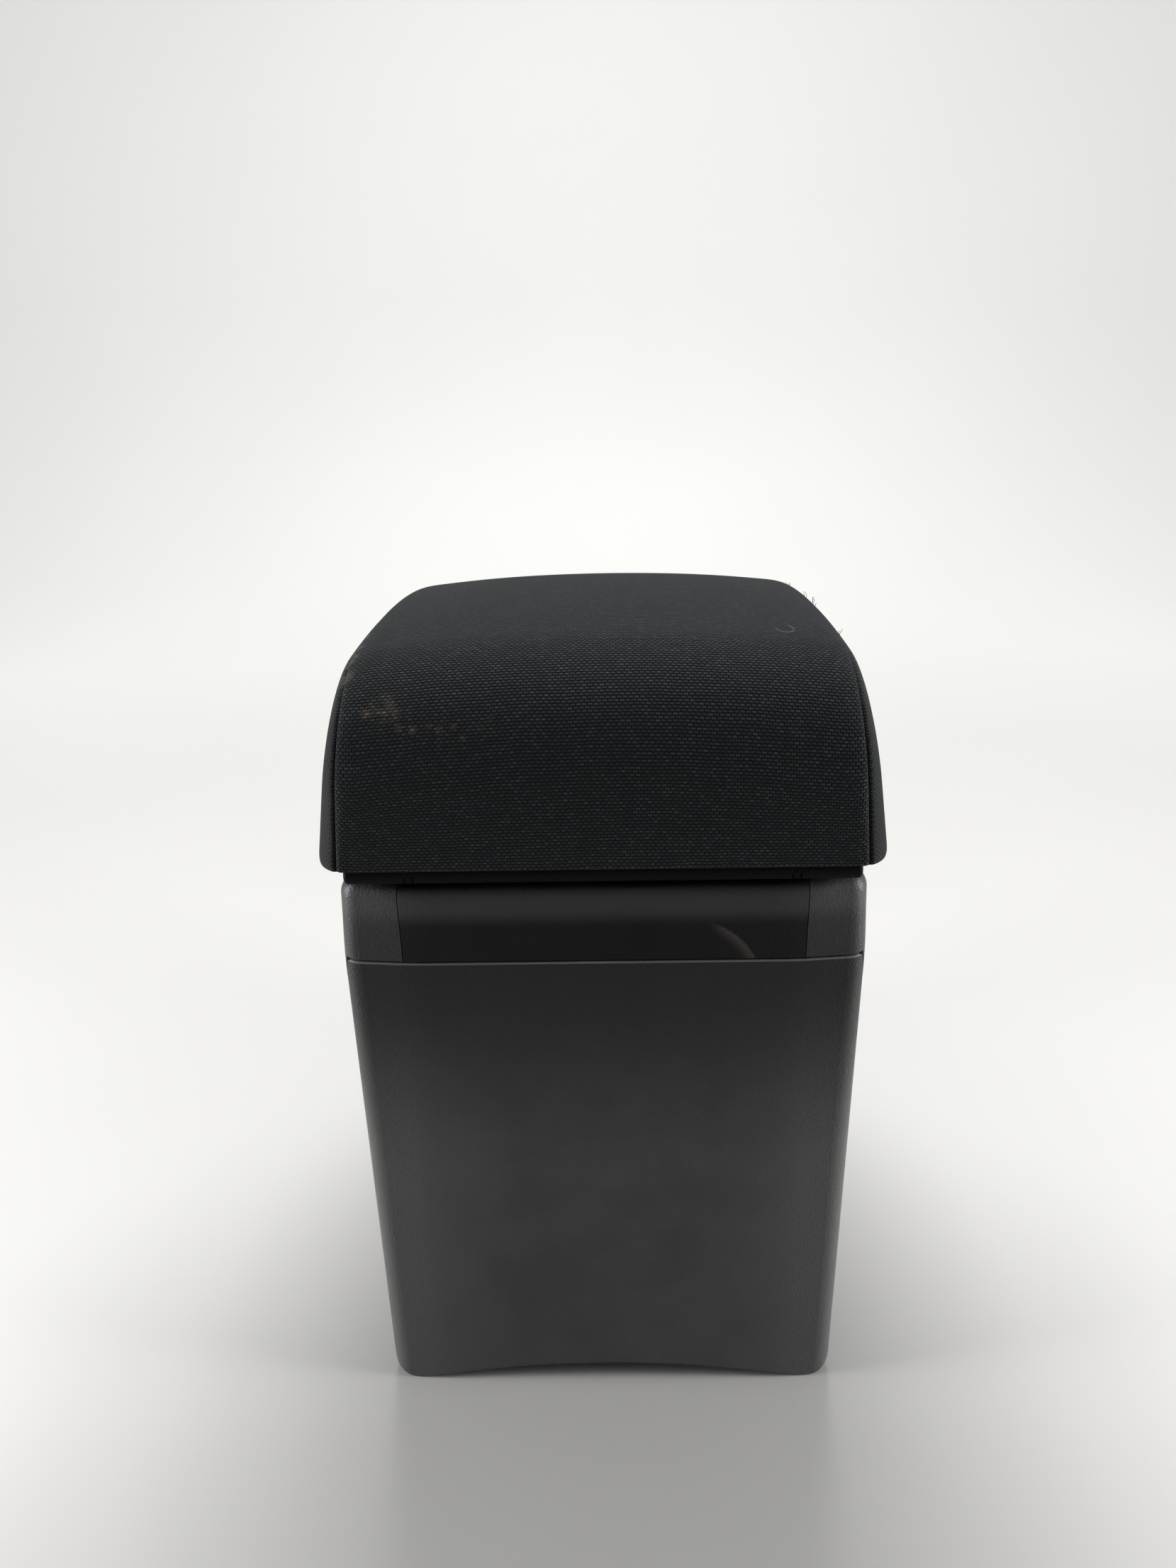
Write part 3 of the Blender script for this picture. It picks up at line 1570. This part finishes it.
@dataclass
class Studio:
    """Pale floor with a coved back, soft light and the camera at the photograph's angle.

    Attributes:
        place: Place of the camera, in metres, as all its distances are.
        yaw: Turn of the camera to the right, in degrees.
        pitch: Tilt of the camera downwards, in degrees.
        roll: Turn of the camera about its own line of sight, in degrees.
        focal_px: Focal length in pixels of the photograph.
        image: Width and height of the photograph, in pixels.
        sensor: Width of the sensor, in millimetres.
        clip: Distance at which the camera starts to see.
        floor: Colour of the floor, linear.
        floor_tone: Strength of that colour in the floor's darker patches.
        floor_patches: Those patches per metre.
        floor_roughness: Roughness of the floor.
        sheet: Size of the floor.
        sheet_middle: Middle of the floor, just under the object's foot.
        back: Height of the back.
        cove: Radius of the cove between floor and back.
        cove_steps: Steps of that cove.
        glow: Colour of the floor's own glow, which only the camera sees.
        foot: Middle of the shadow at the object's foot.
        shaded: Distances from it between which the shadow clears.
        beyond: Distances from it between which the floor glows on.
        lift: Strength of the glow past the shadow, and of what is added beyond.
        sky: Colour of the world.
        behind: Directions along the room between which its light grows, from front to back.
        room: Light of the room at those two.
        over: Directions up between which the ceiling's light grows.
        ceiling: Light of the ceiling.
        pale: Light of the world where the camera sees it.
        lamps: Name, place, aim, size and power of each lamp.
    """

    place: Point = (0.00442, -0.50919, 0.40438)
    yaw: float = -1.31
    pitch: float = 20.0
    roll: float = 1.29
    focal_px: float = 1660.0
    image: tuple[int, int] = (1659, 2212)
    sensor: float = 36.0
    clip: float = 0.01
    floor: Color = (0.36, 0.354, 0.343)
    floor_tone: float = 0.96
    floor_patches: float = 3.0
    floor_roughness: float = 0.6
    sheet: float = 6.0
    sheet_middle: Point = (0.0, -1.4, -0.0005)
    back: float = 3.0
    cove: float = 0.5
    cove_steps: int = 16
    glow: Color = (1.0, 1.0, 0.98)
    foot: Point = (0.0, -0.24, 0.0)
    shaded: Span = (0.12, 0.36)
    beyond: Span = (0.7, 1.7)
    lift: Span = (0.32, 0.24)
    sky: Color = (0.95, 0.97, 1.0)
    behind: Span = (-0.55, 0.35)
    room: Span = (0.02, 0.4)
    over: Span = (0.3, 0.95)
    ceiling: float = 0.3
    pale: float = 0.72
    lamps: tuple[tuple[str, Point, Point, Span, float], ...] = (
        ("lamp_above", (0.0, 0.75, 1.65), (0.0, 0.0, 0.25), (0.7, 0.7), 26.0),
        ("lamp_left", (-0.95, -0.22, 0.3), (0.0, -0.1, 0.15), (0.3, 0.8), 14.0),
        ("lamp_right", (0.95, -0.22, 0.3), (0.0, -0.1, 0.15), (0.3, 0.8), 14.0),
    )

    def camera(self) -> None:
        """Sets the camera."""
        data = bpy.data.cameras.new("camera")
        data.sensor_width = self.sensor
        data.lens = self.focal_px / max(self.image) * self.sensor
        data.clip_start = self.clip
        holder = bpy.data.objects.new("camera", data)
        bpy.context.scene.collection.objects.link(holder)
        yaw, pitch, roll = (math.radians(value) for value in (self.yaw, self.pitch, self.roll))
        ahead = Vector((math.sin(yaw) * math.cos(pitch), math.cos(yaw) * math.cos(pitch), -math.sin(pitch)))
        right = Vector((math.cos(yaw), -math.sin(yaw), 0.0))
        down = ahead.cross(right)
        turned = right * math.cos(roll) + down * math.sin(roll)
        lower = down * math.cos(roll) - right * math.sin(roll)
        matrix = Matrix((turned, -lower, -ahead)).transposed().to_4x4()
        matrix.translation = Vector(self.place)
        holder.matrix_world = matrix
        bpy.context.scene.camera = holder

    def backdrop(self) -> None:
        """Makes the floor and the coved back in one sheet."""
        bpy.ops.object.select_all(action="DESELECT")
        bpy.ops.mesh.primitive_plane_add(size=self.sheet, location=self.sheet_middle)
        sheet = bpy.context.object
        sheet.name = "floor"
        bpy.ops.object.mode_set(mode="EDIT")
        bpy.ops.mesh.select_all(action="DESELECT")
        bpy.ops.object.mode_set(mode="OBJECT")
        for edge in sheet.data.edges:
            edge.select = all(sheet.data.vertices[i].co.y > 0 for i in edge.vertices)
        bpy.ops.object.mode_set(mode="EDIT")
        bpy.ops.mesh.select_mode(type="EDGE")
        bpy.ops.mesh.extrude_region_move(TRANSFORM_OT_translate={"value": (0.0, 0.0, self.back)})
        bpy.ops.object.mode_set(mode="OBJECT")
        cove = sheet.modifiers.new("cove", "BEVEL")
        cove.width = self.cove
        cove.segments = self.cove_steps
        cove.limit_method = "ANGLE"
        apply_all(sheet)
        bpy.ops.object.transform_apply(location=True, rotation=True, scale=True)
        bpy.ops.object.shade_smooth()
        sheet.data.materials.append(self.floor_material())

    def floor_material(self) -> bpy.types.Material:
        """Pale floor that glows for the camera alone, less so in the object's shadow.

        Returns:
            The material.
        """
        material = bpy.data.materials.new("pale_floor")
        material.use_nodes = True
        bench = NodeBench(material.node_tree)
        shader = material.node_tree.nodes["Principled BSDF"]
        place = bench.add("ShaderNodeTexCoord").outputs["Object"]
        tone = bench.ramp(bench.noise(place, self.floor_patches, 3.0), 0.3, 0.7)
        base = bench.blend(tone, opaque(self.floor), opaque(self.floor, self.floor_tone))
        bench.feed(shader.inputs["Base Color"], base)
        shader.inputs["Roughness"].default_value = self.floor_roughness
        away = bench.distance(place, self.foot)
        near, far = self.lift
        open_floor = bench.math("ADD", bench.ramp(away, *self.shaded, 0.0, near),
                                bench.ramp(away, *self.beyond, 0.0, far))
        shader.inputs["Emission Color"].default_value = opaque(self.glow)
        bench.feed(shader.inputs["Emission Strength"], bench.product(bench.seen(), open_floor))
        return material

    def lights(self) -> None:
        """Sets a soft lamp above and behind, one at each side, and the world."""
        for name, place, aim, size, power in self.lamps:
            data = bpy.data.lights.new(name, "AREA")
            data.shape = "RECTANGLE"
            data.size, data.size_y = size
            data.energy = power
            holder = bpy.data.objects.new(name, data)
            holder.location = place
            holder.rotation_mode = "QUATERNION"
            holder.rotation_quaternion = (Vector(aim) - Vector(place)).to_track_quat("-Z", "Y")
            bpy.context.scene.collection.objects.link(holder)
        self.world()

    def world(self) -> None:
        """Makes a world that lights from above and behind, and that the camera sees as pale."""
        world = bpy.data.worlds.new("pale_world")
        bpy.context.scene.world = world
        world.use_nodes = True
        bench = NodeBench(world.node_tree)
        _, along, up = bench.axes(bench.add("ShaderNodeTexCoord").outputs["Object"])
        shade = world.node_tree.nodes["Background"]
        shade.inputs[0].default_value = opaque(self.sky)
        around = bench.ramp(along, *self.behind, *self.room)
        light = bench.math("ADD", around, bench.ramp(up, *self.over, 0.0, self.ceiling))
        shown = bench.add("ShaderNodeMix", {0: bench.seen(), 2: light, 3: self.pale}, data_type="FLOAT")
        bench.feed(shade.inputs[1], shown.outputs[0])

    def build(self) -> None:
        """Sets up the whole studio."""
        self.backdrop()
        self.lights()
        self.camera()
        bpy.context.scene.view_settings.view_transform = "Standard"
        LOG.info("set the studio")


def main() -> None:
    """Builds everything in order."""
    logging.basicConfig(level=logging.INFO)
    ConsoleBox().build()
    lid = PaddedLid()
    lid.build()
    LooseThreads(lid).build()
    Studio().build()


if __name__ == "__main__":
    main()
